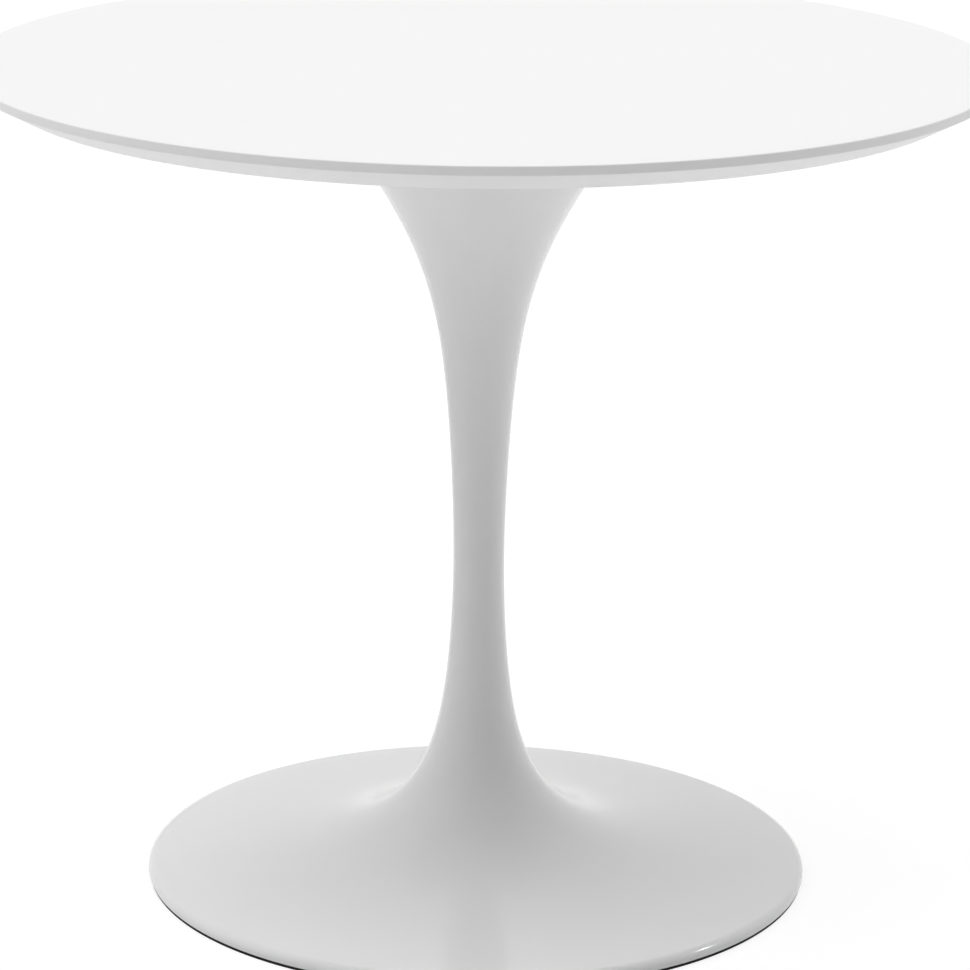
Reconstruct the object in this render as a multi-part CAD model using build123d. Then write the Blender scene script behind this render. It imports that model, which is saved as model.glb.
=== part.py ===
from build123d import *
import os
from math import cos, radians, sin, tan

# Round pedestal table. A lacquered board top with an undercut edge stands on one hollow
# aluminium casting, whose waisted stem flares into a mouth above and a wide foot below.
# A steel plate screwed under the top drops into the mouth, and one threaded rod down the
# hollow stem pulls plate and casting together with a nut under the foot.
# Units are millimetres. The origin is on the floor at the table's centre, with +Z up.

# ---- overall ----
TABLE_HEIGHT = 750.0
TOP_DIAMETER = 900.0
BASE_DIAMETER = 600.0

# ---- table top ----
TOP_THICKNESS = 25.0
TOP_EDGE_HEIGHT = 8.0  # the upright band of the edge
TOP_UNDERCUT = 32.5  # how far the bevel goes in under the band
TOP_UPPER_ARRIS = 1.2
TOP_LOWER_ARRIS = 0.8

# ---- pedestal casting, outside ----
WAIST_DIAMETER = 46.0
WAIST_HEIGHT = 297.0
MOUTH_DIAMETER = 292.0
MOUTH_LAND = 1.5  # upright land round the top of the mouth
LIP_GAP = 0.3  # the plate stands this much proud, so the lip never carries the top
# The flare above the waist is one curve, pulled by three handles.
WAIST_RISE = 103.0
FLARE_NECK_RADIUS = 37.0
FLARE_NECK_DROP = 172.0  # below the land
FLARE_THROAT_RADIUS = 34.0
FLARE_THROAT_DROP = 161.0
# The sweep below the waist is one curve, pulled by four handles.
WAIST_FALL = 124.0
SHIN_RADIUS = 40.5
SHIN_HEIGHT = 90.0
HEEL_RADIUS = 39.0
HEEL_HEIGHT = 30.0
FOOT_REACH = 115.0  # the length of the handle at the rim
FOOT_SLOPE = 3.0  # degrees below level, where the foot meets the rim
RIM_THICKNESS = 10.0
RIM_UPPER_ROUND = 7.0
RIM_LOWER_ROUND = 1.5

# ---- pedestal casting, inside ----
WALL = 5.0
LEDGE_WIDTH = 12.0  # carries the mounting plate
LEDGE_THICKNESS = 4.0
LIP_WIDTH = 10.0  # at the top of the mouth, outside the plate
RIM_WIDTH = 18.0
RIB_COUNT = 6
RIB_THICKNESS = 6.0
RIB_TOP = 64.0
RIB_FLOOR_GAP = 6.0
WRENCH_RADIUS = 34.0  # clear of the ribs round the clamp nut
WRENCH_FLARE = 24.0
BOSS_DIAMETER = 40.0
BOSS_RISE = 43.0

# ---- foot ring ----
RING_HEIGHT = 3.0
RING_WIDTH = 11.0
RING_INSET = 2.5  # from the edge of the foot
TONGUE_WIDTH = 5.0
TONGUE_HEIGHT = 3.5
TONGUE_CLEARANCE = 0.15
RING_CHAMFER = 0.6

# ---- mounting plate, hub and gussets ----
PLATE_THICKNESS = 5.0
PLATE_CLEARANCE = 0.5
HUB_DIAMETER = 28.0
HUB_LENGTH = 30.0
HUB_SPIGOT_DIAMETER = 22.0
GUSSET_COUNT = 6
GUSSET_THICKNESS = 4.0
GUSSET_HEIGHT = 24.0
GUSSET_REACH = 62.0
GUSSET_NOSE = 5.0

# ---- screws that hold the plate to the top ----
SCREW_COUNT = 6
SCREW_CIRCLE = 210.0
SCREW_DIAMETER = 6.0
SCREW_LENGTH = 16.0
SCREW_HEAD_DIAMETER = 11.0
SCREW_HEAD_HEIGHT = 3.4
SCREW_HEAD_SLOPE = 2.5  # how far the head tapers in
SCREW_HEAD_EDGE = 1.2  # upright band under the taper
SCREW_SOCKET = 4.0
SCREW_SOCKET_DEPTH = 2.0
SCREW_WASHER_DIAMETER = 14.0
SCREW_WASHER_THICKNESS = 1.2
INSERT_DIAMETER = 10.0
INSERT_LENGTH = 13.0
INSERT_FLANGE_DIAMETER = 13.0
INSERT_FLANGE_THICKNESS = 1.0
SCREW_HOLE_CLEARANCE = 0.3
FIT_CLEARANCE = 0.1  # round a thread, an insert or a spigot

# ---- tie rod and its fasteners ----
ROD_DIAMETER = 12.0
ROD_HOLE_CLEARANCE = 0.5
ROD_FLOOR_GAP = 4.7
ROD_TAIL = 4.0  # thread left showing below the clamp nut
ROD_TOP_DROP = 1.0  # below the top face of the plate
ROD_CHAMFER = 1.0
NUT_FLATS = 19.0
NUT_HEIGHT = 10.8
LOCK_NUT_HEIGHT = 6.0
HEX_FACE_SHARE = 0.95  # the flat round face at the end of a hexagon, in flats
HEX_CHAMFER_ANGLE = 30.0
CLAMP_WASHER_DIAMETER = 44.0
CLAMP_WASHER_THICKNESS = 5.0
SPRING_WASHER_DIAMETER = 21.0
SPRING_WASHER_THICKNESS = 2.5
SPRING_WASHER_GAP = 1.8
SPRING_WASHER_CUT_ANGLE = 25.0

# ---- ballast weights and their bolts ----
WEIGHT_THICKNESS = 9.0
WEIGHT_FLOOR_GAP = 7.0
WEIGHT_INNER_RADIUS = 75.0
WEIGHT_CLEARANCE = 1.5  # to the ribs and to the skin above
WEIGHT_CORNER = 5.0
WEIGHT_BORE_DEPTH = 4.0
WEIGHT_BORE_DIAMETER = 20.0
BOLT_CIRCLE = 250.0
BOLT_DIAMETER = 8.0
BOLT_LENGTH = 16.0
BOLT_FLATS = 13.0
BOLT_HEAD_HEIGHT = 5.3
BOLT_WASHER_DIAMETER = 16.0
BOLT_WASHER_THICKNESS = 1.6
BOLT_HOLE_CLEARANCE = 0.5
BOLT_BOSS_DIAMETER = 18.0
BOLT_BOSS_HEIGHT = 30.0
TAP_RUNOUT = 2.0  # depth of a blind hole past what goes into it

# ---- places worked out from those sizes ----
UNDERSIDE = TABLE_HEIGHT - TOP_THICKNESS  # underside of the top, and top of the plate
PLATE_BOTTOM = UNDERSIDE - PLATE_THICKNESS
HUB_BOTTOM = PLATE_BOTTOM - HUB_LENGTH
MOUTH_TOP = UNDERSIDE - LIP_GAP
MOUTH_RADIUS = MOUTH_DIAMETER / 2
LAND_BOTTOM = MOUTH_TOP - MOUTH_LAND
RECESS_RADIUS = MOUTH_RADIUS - LIP_WIDTH
PLATE_RADIUS = RECESS_RADIUS - PLATE_CLEARANCE
LEDGE_BOTTOM = PLATE_BOTTOM - LEDGE_THICKNESS
BASE_RADIUS = BASE_DIAMETER / 2
RIM_TOP = RING_HEIGHT + RIM_THICKNESS
RIM_INNER_RADIUS = BASE_RADIUS - RIM_WIDTH
RING_OUTER_RADIUS = BASE_RADIUS - RING_INSET
TONGUE_RADIUS = RING_OUTER_RADIUS - RING_WIDTH / 2
NUT_BOTTOM = ROD_FLOOR_GAP + ROD_TAIL
NUT_TOP = NUT_BOTTOM + NUT_HEIGHT
SPRING_TOP = NUT_TOP + SPRING_WASHER_THICKNESS
BOSS_BOTTOM = SPRING_TOP + CLAMP_WASHER_THICKNESS
BOSS_TOP = BOSS_BOTTOM + BOSS_RISE
WEIGHT_TOP = WEIGHT_FLOOR_GAP + WEIGHT_THICKNESS
BOLT_SEAT = WEIGHT_FLOOR_GAP + WEIGHT_BORE_DEPTH
BOLT_HEAD_TOP = BOLT_SEAT - BOLT_WASHER_THICKNESS
BOLT_TIP = BOLT_HEAD_TOP + BOLT_LENGTH
SCREW_HEAD_TOP = PLATE_BOTTOM - SCREW_WASHER_THICKNESS
BETWEEN_RIBS = 180 / RIB_COUNT  # degrees, from a rib to the middle of a bay
SCREW_START = 180 / SCREW_COUNT  # degrees, to the first screw
RUN_OUT = 20.0  # how far a cut runs on past the face where it comes out

FROM_BELOW = (Align.CENTER, Align.CENTER, Align.MIN)


# ---- shared shapes ----
def at(radius, height):
    """A point of a turned profile."""
    return Vector(radius, 0, height)


def path(*points):
    """Straight edges through the points of a profile."""
    return [Line(a, b) for a, b in zip(points, points[1:])]


def turned(*points):
    """A solid turned about the table's own axis from a closed run of straight edges."""
    return revolve(make_face(path(*points, points[0])), Axis.Z)


def rod(diameter, bottom, top):
    """A plain round bar on the axis between two heights."""
    return Pos(0, 0, bottom) * Cylinder(diameter / 2, top - bottom, align=FROM_BELOW)


def tube(outer, inner, bottom, top):
    """A plain ring on the axis between two heights, by its two diameters."""
    return turned(at(inner / 2, bottom), at(outer / 2, bottom), at(outer / 2, top), at(inner / 2, top))


def ring_of(shape, circle, count, first_angle):
    """Copies of a shape, evenly spaced on a circle round the axis."""
    return [place * shape for place in PolarLocations(circle / 2, count, start_angle=first_angle)]


def joined(shape, others):
    """One shape and a list of more, as one solid."""
    return shape.fuse(*others)


def hexagon(flats, bottom, top):
    """A hexagonal prism with its corners turned off at both ends."""
    corner = flats / 3**0.5
    face = HEX_FACE_SHARE * flats / 2
    drop = (corner - face) * tan(radians(HEX_CHAMFER_ANGLE))
    blank = turned(
        at(0, bottom),
        at(face, bottom),
        at(corner, bottom + drop),
        at(corner, top - drop),
        at(face, top),
        at(0, top),
    )
    return extrude(Pos(0, 0, bottom) * RegularPolygon(corner, 6), top - bottom) & blank


# ---- the casting's outline ----
def flare_curve():
    """The outside of the casting, from the waist up to the land round the mouth."""
    waist = WAIST_DIAMETER / 2
    return Bezier(
        at(waist, WAIST_HEIGHT),
        at(waist, WAIST_HEIGHT + WAIST_RISE),
        at(FLARE_NECK_RADIUS, LAND_BOTTOM - FLARE_NECK_DROP),
        at(FLARE_THROAT_RADIUS, LAND_BOTTOM - FLARE_THROAT_DROP),
        at(MOUTH_RADIUS, LAND_BOTTOM),
    )


def rim_start():
    """Where the foot's slope ends and the rim's rounding begins."""
    slope = radians(FOOT_SLOPE)
    centre = BASE_RADIUS - RIM_UPPER_ROUND
    return at(centre + RIM_UPPER_ROUND * sin(slope), RIM_TOP - RIM_UPPER_ROUND * (1 - cos(slope)))


def sweep_curve():
    """The outside of the casting, from the waist down and out to the rim."""
    waist = WAIST_DIAMETER / 2
    slope = radians(FOOT_SLOPE)
    end = rim_start()
    return Bezier(
        at(waist, WAIST_HEIGHT),
        at(waist, WAIST_HEIGHT - WAIST_FALL),
        at(SHIN_RADIUS, SHIN_HEIGHT),
        at(HEEL_RADIUS, HEEL_HEIGHT),
        end + at(-cos(slope), sin(slope)) * FOOT_REACH,
        end,
    )


def skin_inside(outside, side, stations=15):
    """The curve one wall thickness inside an outside curve; side is the turn of the normal."""
    places, headings = [], []
    for n in range(stations):
        share = n / (stations - 1)
        heading = outside % share
        inward = Vector(-side * heading.Z, 0, side * heading.X)
        places.append(outside @ share + inward * WALL)
        headings.append(heading)
    return Spline(*places, tangents=[headings[0], headings[-1]])


def outside_face():
    """Half of the casting's section, taken as if it were solid."""
    slope = radians(FOOT_SLOPE)
    round_centre = at(BASE_RADIUS - RIM_UPPER_ROUND, RIM_TOP - RIM_UPPER_ROUND)
    half_turn = (radians(90) - slope) / 2
    upper_middle = round_centre + at(cos(half_turn), sin(half_turn)) * RIM_UPPER_ROUND
    upper_end = round_centre + at(RIM_UPPER_ROUND, 0)
    lower_start = at(BASE_RADIUS, RING_HEIGHT + RIM_LOWER_ROUND)
    lower_centre = lower_start - at(RIM_LOWER_ROUND, 0)
    lower_middle = lower_centre + at(cos(radians(45)), -sin(radians(45))) * RIM_LOWER_ROUND
    lower_end = lower_centre - at(0, RIM_LOWER_ROUND)
    return make_face(
        path(at(0, MOUTH_TOP), at(MOUTH_RADIUS, MOUTH_TOP), at(MOUTH_RADIUS, LAND_BOTTOM))
        + [flare_curve(), sweep_curve()]
        + [ThreePointArc(rim_start(), upper_middle, upper_end)]
        + path(upper_end, lower_start)
        + [ThreePointArc(lower_start, lower_middle, lower_end)]
        + path(lower_end, at(0, RING_HEIGHT), at(0, MOUTH_TOP))
    )


def hollow_face():
    """Half of the section of the hollow under the skin, run on past both ends."""
    flare = skin_inside(flare_curve(), 1)
    sweep = skin_inside(sweep_curve(), -1)
    lip, toe = flare @ 1, sweep @ 1
    return make_face(
        [flare, sweep] + path(toe, at(toe.X, -RUN_OUT), at(0, -RUN_OUT), at(0, lip.Z), lip)
    )


def box_face(radius, bottom, top):
    """A rectangle of the section, from the axis out to a radius."""
    return make_face(path(at(0, bottom), at(radius, bottom), at(radius, top), at(0, top), at(0, bottom)))


def skin_radius(height):
    """The radius at which the hollow under the foot comes down to a height."""
    sweep = skin_inside(sweep_curve(), -1)
    near, far = 0.0, 1.0  # the curve falls all the way from the waist to the rim
    while far - near > 1e-6:
        middle = (near + far) / 2
        if (sweep @ middle).Z > height:
            near = middle
        else:
            far = middle
    return (sweep @ near).X


# ---- table top and what is fixed to it ----
def table_top():
    """The board: a flat disc with a narrow upright edge, cut back below by a bevel."""
    radius = TOP_DIAMETER / 2
    edge_bottom = TABLE_HEIGHT - TOP_EDGE_HEIGHT
    board = turned(
        at(0, UNDERSIDE),
        at(radius - TOP_UNDERCUT, UNDERSIDE),
        at(radius, edge_bottom),
        at(radius, TABLE_HEIGHT),
        at(0, TABLE_HEIGHT),
    )
    board = fillet(board.edges().filter_by(GeomType.CIRCLE).group_by(Axis.Z)[1], TOP_LOWER_ARRIS)
    board = fillet(board.edges().filter_by(GeomType.CIRCLE).group_by(Axis.Z)[-1], TOP_UPPER_ARRIS)
    body = INSERT_DIAMETER + 2 * FIT_CLEARANCE
    flange = INSERT_FLANGE_DIAMETER + 2 * FIT_CLEARANCE
    hole = rod(body, UNDERSIDE - RUN_OUT, UNDERSIDE + INSERT_LENGTH + TAP_RUNOUT)
    sink = rod(flange, UNDERSIDE - RUN_OUT, UNDERSIDE + INSERT_FLANGE_THICKNESS)
    return board - ring_of(hole + sink, SCREW_CIRCLE, SCREW_COUNT, SCREW_START)


def threaded_inserts():
    """Flanged metal inserts sunk into the board."""
    flange_top = UNDERSIDE + INSERT_FLANGE_THICKNESS
    bore = SCREW_DIAMETER / 2 + FIT_CLEARANCE
    insert = turned(
        at(bore, UNDERSIDE),
        at(INSERT_FLANGE_DIAMETER / 2, UNDERSIDE),
        at(INSERT_FLANGE_DIAMETER / 2, flange_top),
        at(INSERT_DIAMETER / 2, flange_top),
        at(INSERT_DIAMETER / 2, UNDERSIDE + INSERT_LENGTH),
        at(bore, UNDERSIDE + INSERT_LENGTH),
    )
    return ring_of(insert, SCREW_CIRCLE, SCREW_COUNT, SCREW_START)


def mounting_plate():
    """The round steel plate under the top, which drops into the casting's mouth."""
    plate = rod(2 * PLATE_RADIUS, PLATE_BOTTOM, UNDERSIDE)
    plate -= rod(HUB_SPIGOT_DIAMETER + 2 * FIT_CLEARANCE, PLATE_BOTTOM - RUN_OUT, UNDERSIDE + RUN_OUT)
    hole = rod(SCREW_DIAMETER + 2 * SCREW_HOLE_CLEARANCE, PLATE_BOTTOM - RUN_OUT, UNDERSIDE + RUN_OUT)
    return plate - ring_of(hole, SCREW_CIRCLE, SCREW_COUNT, SCREW_START)


def plate_hub():
    """The turned and tapped hub that is welded into the plate and takes the rod."""
    spigot_top = UNDERSIDE - ROD_TOP_DROP
    bore = ROD_DIAMETER / 2 + FIT_CLEARANCE
    return turned(
        at(bore, HUB_BOTTOM),
        at(HUB_DIAMETER / 2 - ROD_CHAMFER, HUB_BOTTOM),
        at(HUB_DIAMETER / 2, HUB_BOTTOM + ROD_CHAMFER),
        at(HUB_DIAMETER / 2, PLATE_BOTTOM),
        at(HUB_SPIGOT_DIAMETER / 2, PLATE_BOTTOM),
        at(HUB_SPIGOT_DIAMETER / 2, spigot_top),
        at(bore, spigot_top),
    )


def hub_gussets():
    """Flat webs welded between the hub and the underside of the plate."""
    foot = PLATE_BOTTOM - GUSSET_HEIGHT
    tip = HUB_DIAMETER / 2 + GUSSET_REACH
    outline = path(
        at(0, PLATE_BOTTOM),
        at(tip, PLATE_BOTTOM),
        at(tip, PLATE_BOTTOM - GUSSET_NOSE),
        at(HUB_DIAMETER / 2 + GUSSET_NOSE, foot),
        at(0, foot),
        at(0, PLATE_BOTTOM),
    )
    blank = extrude(make_face(outline), GUSSET_THICKNESS / 2, dir=(0, 1, 0), both=True)
    web = blank - rod(HUB_DIAMETER, foot - RUN_OUT, PLATE_BOTTOM + RUN_OUT)
    return ring_of(web, 0, GUSSET_COUNT, 0)


def plate_screws():
    """Button-head screws with hexagon sockets, driven up through the plate."""
    head_bottom = SCREW_HEAD_TOP - SCREW_HEAD_HEIGHT
    head_radius = SCREW_HEAD_DIAMETER / 2
    shank_radius = SCREW_DIAMETER / 2
    tip = SCREW_HEAD_TOP + SCREW_LENGTH
    screw = turned(
        at(0, head_bottom),
        at(head_radius - SCREW_HEAD_SLOPE, head_bottom),
        at(head_radius, SCREW_HEAD_TOP - SCREW_HEAD_EDGE),
        at(head_radius, SCREW_HEAD_TOP),
        at(shank_radius, SCREW_HEAD_TOP),
        at(shank_radius, tip),
        at(0, tip),
    )
    socket = Pos(0, 0, head_bottom) * RegularPolygon(SCREW_SOCKET / 3**0.5, 6)
    screw -= extrude(socket, SCREW_SOCKET_DEPTH)
    return ring_of(screw, SCREW_CIRCLE, SCREW_COUNT, SCREW_START)


def plate_washers():
    """Plain washers under the screw heads."""
    bore = SCREW_DIAMETER + 2 * SCREW_HOLE_CLEARANCE
    washer = tube(SCREW_WASHER_DIAMETER, bore, SCREW_HEAD_TOP, PLATE_BOTTOM)
    return ring_of(washer, SCREW_CIRCLE, SCREW_COUNT, SCREW_START)


# ---- pedestal ----
def rib_blank():
    """One radial web, deep at the boss and low at the rim, arched clear of the clamp nut."""
    end = RIM_INNER_RADIUS + WALL
    outline = path(
        at(0, BOSS_BOTTOM),
        at(WRENCH_RADIUS, BOSS_BOTTOM),
        at(WRENCH_RADIUS + WRENCH_FLARE, RIB_FLOOR_GAP),
        at(end, RIB_FLOOR_GAP),
        at(end, RIB_TOP),
        at(0, RIB_TOP),
        at(0, BOSS_BOTTOM),
    )
    return extrude(make_face(outline), RIB_THICKNESS / 2, dir=(0, 1, 0), both=True)


def pedestal():
    """The casting: an even wall, a ledge in the mouth, and a boss and ribs under the foot."""
    room = revolve(hollow_face() & box_face(RIM_INNER_RADIUS, -RUN_OUT, LEDGE_BOTTOM), Axis.Z)
    room += rod(2 * (RECESS_RADIUS - LEDGE_WIDTH), LEDGE_BOTTOM - LEDGE_THICKNESS, MOUTH_TOP)
    room += rod(2 * RECESS_RADIUS, PLATE_BOTTOM, MOUTH_TOP + RUN_OUT)
    ribs = ring_of(rib_blank(), 0, RIB_COUNT, 0)
    boss = rod(BOSS_DIAMETER, BOSS_BOTTOM, BOSS_TOP)
    bolt_boss = rod(BOLT_BOSS_DIAMETER, WEIGHT_TOP, WEIGHT_TOP + BOLT_BOSS_HEIGHT)
    bolt_bosses = ring_of(bolt_boss, BOLT_CIRCLE, RIB_COUNT, BETWEEN_RIBS)
    room = room - joined(boss, ribs + bolt_bosses)
    casting = revolve(outside_face(), Axis.Z) - room
    casting -= rod(ROD_DIAMETER + 2 * ROD_HOLE_CLEARANCE, 0, BOSS_TOP + RUN_OUT)
    tap = rod(BOLT_DIAMETER + 2 * FIT_CLEARANCE, 0, BOLT_TIP + TAP_RUNOUT)
    casting -= ring_of(tap, BOLT_CIRCLE, RIB_COUNT, BETWEEN_RIBS)
    groove_width = TONGUE_WIDTH + 2 * TONGUE_CLEARANCE
    groove = tube(
        2 * TONGUE_RADIUS + groove_width,
        2 * TONGUE_RADIUS - groove_width,
        0,
        RING_HEIGHT + TONGUE_HEIGHT + TONGUE_CLEARANCE,
    )
    return casting - groove


def foot_ring():
    """The rubber ring that the table stands on, held by a tongue in the rim's groove."""
    inner = RING_OUTER_RADIUS - RING_WIDTH
    tongue_top = RING_HEIGHT + TONGUE_HEIGHT
    return turned(
        at(inner, 0),
        at(RING_OUTER_RADIUS - RING_CHAMFER, 0),
        at(RING_OUTER_RADIUS, RING_CHAMFER),
        at(RING_OUTER_RADIUS, RING_HEIGHT),
        at(TONGUE_RADIUS + TONGUE_WIDTH / 2, RING_HEIGHT),
        at(TONGUE_RADIUS + TONGUE_WIDTH / 2, tongue_top),
        at(TONGUE_RADIUS - TONGUE_WIDTH / 2, tongue_top),
        at(TONGUE_RADIUS - TONGUE_WIDTH / 2, RING_HEIGHT),
        at(inner, RING_HEIGHT),
    )


# ---- tie rod ----
def tie_rod():
    """The threaded rod, from the hub down to just above the floor."""
    top = UNDERSIDE - ROD_TOP_DROP
    radius = ROD_DIAMETER / 2
    return turned(
        at(0, ROD_FLOOR_GAP),
        at(radius - ROD_CHAMFER, ROD_FLOOR_GAP),
        at(radius, ROD_FLOOR_GAP + ROD_CHAMFER),
        at(radius, top - ROD_CHAMFER),
        at(radius - ROD_CHAMFER, top),
        at(0, top),
    )


def nut(bottom, height):
    """A hexagon nut on the rod."""
    bore = rod(ROD_DIAMETER + 2 * FIT_CLEARANCE, bottom - RUN_OUT, bottom + height + RUN_OUT)
    return hexagon(NUT_FLATS, bottom, bottom + height) - bore


def hub_lock_nut():
    """The thin nut that locks the rod in the hub."""
    return nut(HUB_BOTTOM - LOCK_NUT_HEIGHT, LOCK_NUT_HEIGHT)


def clamp_washer():
    """The thick washer that spreads the rod's pull over the boss."""
    bore = ROD_DIAMETER + 2 * ROD_HOLE_CLEARANCE
    return tube(CLAMP_WASHER_DIAMETER, bore, SPRING_TOP, BOSS_BOTTOM)


def spring_washer():
    """The split washer, cut through at a slant."""
    bore = ROD_DIAMETER + 2 * ROD_HOLE_CLEARANCE
    ring = tube(SPRING_WASHER_DIAMETER, bore, NUT_TOP, SPRING_TOP)
    cut = Box(SPRING_WASHER_DIAMETER, SPRING_WASHER_GAP, 4 * SPRING_WASHER_THICKNESS)
    middle = Pos(SPRING_WASHER_DIAMETER / 2, 0, (NUT_TOP + SPRING_TOP) / 2)
    return ring - middle * Rot(SPRING_WASHER_CUT_ANGLE, 0, 0) * cut


def clamp_nut():
    """The nut under the foot that pulls the whole table together."""
    return nut(NUT_BOTTOM, NUT_HEIGHT)


# ---- ballast ----
def ballast_weights():
    """Cast iron sectors between the ribs, each bolted up against its boss."""
    outer = skin_radius(WEIGHT_TOP + WEIGHT_CLEARANCE)
    iron = tube(2 * outer, 2 * WEIGHT_INNER_RADIUS, WEIGHT_FLOOR_GAP, WEIGHT_TOP)
    slot = Pos(0, 0, WEIGHT_FLOOR_GAP - RUN_OUT) * Box(
        outer + RUN_OUT,
        RIB_THICKNESS + 2 * WEIGHT_CLEARANCE,
        WEIGHT_THICKNESS + 2 * RUN_OUT,
        align=(Align.MIN, Align.CENTER, Align.MIN),
    )
    hole = rod(BOLT_DIAMETER + 2 * BOLT_HOLE_CLEARANCE, 0, WEIGHT_TOP + RUN_OUT)
    bore = rod(WEIGHT_BORE_DIAMETER, 0, BOLT_SEAT)
    sectors = iron - ring_of(slot, 0, RIB_COUNT, 0)
    sectors -= ring_of(hole + bore, BOLT_CIRCLE, RIB_COUNT, BETWEEN_RIBS)
    corners = sectors.edges().filter_by(Axis.Z)
    return chamfer(corners, WEIGHT_CORNER).solids()


def ballast_bolts():
    """Hexagon bolts that run through the weights into the casting."""
    head_bottom = BOLT_HEAD_TOP - BOLT_HEAD_HEIGHT
    head = extrude(Pos(0, 0, head_bottom) * RegularPolygon(BOLT_FLATS / 3**0.5, 6), BOLT_HEAD_HEIGHT)
    bolt = head + rod(BOLT_DIAMETER, BOLT_HEAD_TOP - BOLT_HEAD_HEIGHT / 2, BOLT_TIP)
    return ring_of(bolt, BOLT_CIRCLE, RIB_COUNT, BETWEEN_RIBS)


def ballast_washers():
    """Plain washers between the bolt heads and the weights."""
    bore = BOLT_DIAMETER + 2 * BOLT_HOLE_CLEARANCE
    washer = tube(BOLT_WASHER_DIAMETER, bore, BOLT_HEAD_TOP, BOLT_SEAT)
    return ring_of(washer, BOLT_CIRCLE, RIB_COUNT, BETWEEN_RIBS)


# ---- write one STEP file for each node ----
NODES = [
    table_top,
    threaded_inserts,
    mounting_plate,
    plate_hub,
    hub_gussets,
    plate_screws,
    plate_washers,
    pedestal,
    foot_ring,
    tie_rod,
    hub_lock_nut,
    clamp_washer,
    spring_washer,
    clamp_nut,
    ballast_weights,
    ballast_bolts,
    ballast_washers,
]

os.makedirs("parts", exist_ok=True)
for make in NODES:
    made = make()
    solids = [s for piece in made for s in piece.solids()] if isinstance(made, list) else made.solids()
    export_step(Compound(children=solids), f"parts/{make.__name__}.step")
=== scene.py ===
import math
import bmesh
import bpy
from mathutils import Matrix, Vector


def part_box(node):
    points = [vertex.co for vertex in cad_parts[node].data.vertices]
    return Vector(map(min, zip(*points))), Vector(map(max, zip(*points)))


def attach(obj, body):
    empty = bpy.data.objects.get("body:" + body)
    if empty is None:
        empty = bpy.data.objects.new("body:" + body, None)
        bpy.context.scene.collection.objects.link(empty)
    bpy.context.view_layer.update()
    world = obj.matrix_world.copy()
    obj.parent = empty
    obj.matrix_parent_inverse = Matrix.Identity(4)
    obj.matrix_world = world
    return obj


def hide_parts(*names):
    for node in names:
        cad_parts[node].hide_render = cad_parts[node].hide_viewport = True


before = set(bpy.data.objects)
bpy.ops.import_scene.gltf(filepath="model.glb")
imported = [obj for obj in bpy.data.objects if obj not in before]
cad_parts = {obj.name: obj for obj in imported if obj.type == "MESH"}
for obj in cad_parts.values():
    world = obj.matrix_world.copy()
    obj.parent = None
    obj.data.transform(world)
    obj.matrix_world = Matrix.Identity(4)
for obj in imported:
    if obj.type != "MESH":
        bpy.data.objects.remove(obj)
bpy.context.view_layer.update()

# The board: a round of fibreboard with a narrow upright edge and a wide bevel
# that cuts it back below, sprayed all over with white satin lacquer. It is
# turned here from its section. Six blind holes below take the inserts.
top_low, top_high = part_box("table_top")
TOP_RADIUS = min(-top_low.x, top_high.x, -top_low.y, top_high.y)
EDGE_BAND = 0.008
BEVEL_REACH = 0.0325
UPPER_ARRIS = 0.0012
LOWER_ARRIS = 0.0008
FLAT_MARGIN = 0.006
BOARD_CREASE = 25
LACQUER_WHITES = (0.885, 0.885, 0.885), (0.9, 0.9, 0.9)
LACQUER_IOR = 1.48
INSERT_COUNT = 6
INSERT_CIRCLE_RADIUS = 0.105
INSERT_BODY_RADIUS = 0.005
INSERT_FLANGE_RADIUS = 0.0065
INSERT_FLANGE = 0.001
BLIND_HOLE_SPARE = 0.002
FIT = 0.0001
CUT_CLEAR = 0.01
WELD_DISTANCE = 1e-5


def add_node(tree, kind, inputs=None, **settings):
    """Adds a node, sets its properties, then sets or links its inputs.

    A node given for an input stands for its first output.
    """
    node = tree.nodes.new(kind)
    for setting, value in settings.items():
        setattr(node, setting, value)
    for socket, value in (inputs or {}).items():
        if isinstance(value, bpy.types.Node):
            value = value.outputs[0]
        if isinstance(value, bpy.types.NodeSocket):
            tree.links.new(value, node.inputs[socket])
        else:
            node.inputs[socket].default_value = value
    return node


def reckoned(tree, operation, *values):
    """A Math node on some values."""
    return add_node(tree, "ShaderNodeMath", dict(enumerate(values)), operation=operation)


def sized_tree(name, **sizes):
    """A Geometry Nodes tree and its inputs: a mesh, named sizes and a material."""
    tree = bpy.data.node_groups.new(name, "GeometryNodeTree")
    for socket, kind in {"mesh": "Geometry", **sizes, "material": "Material"}.items():
        tree.interface.new_socket(socket, in_out="INPUT", socket_type="NodeSocket" + kind)
    tree.interface.new_socket("mesh", in_out="OUTPUT", socket_type="NodeSocketGeometry")
    return tree, add_node(tree, "NodeGroupInput").outputs


def closed_tree(tree, given, geometry):
    """The tree, ended in Realize Instances and Set Material."""
    real = add_node(tree, "GeometryNodeRealizeInstances", {"Geometry": geometry})
    painted = add_node(
        tree, "GeometryNodeSetMaterial", {"Geometry": real, "Material": given["material"]}
    )
    add_node(tree, "NodeGroupOutput", {"mesh": painted})
    return tree


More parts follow.
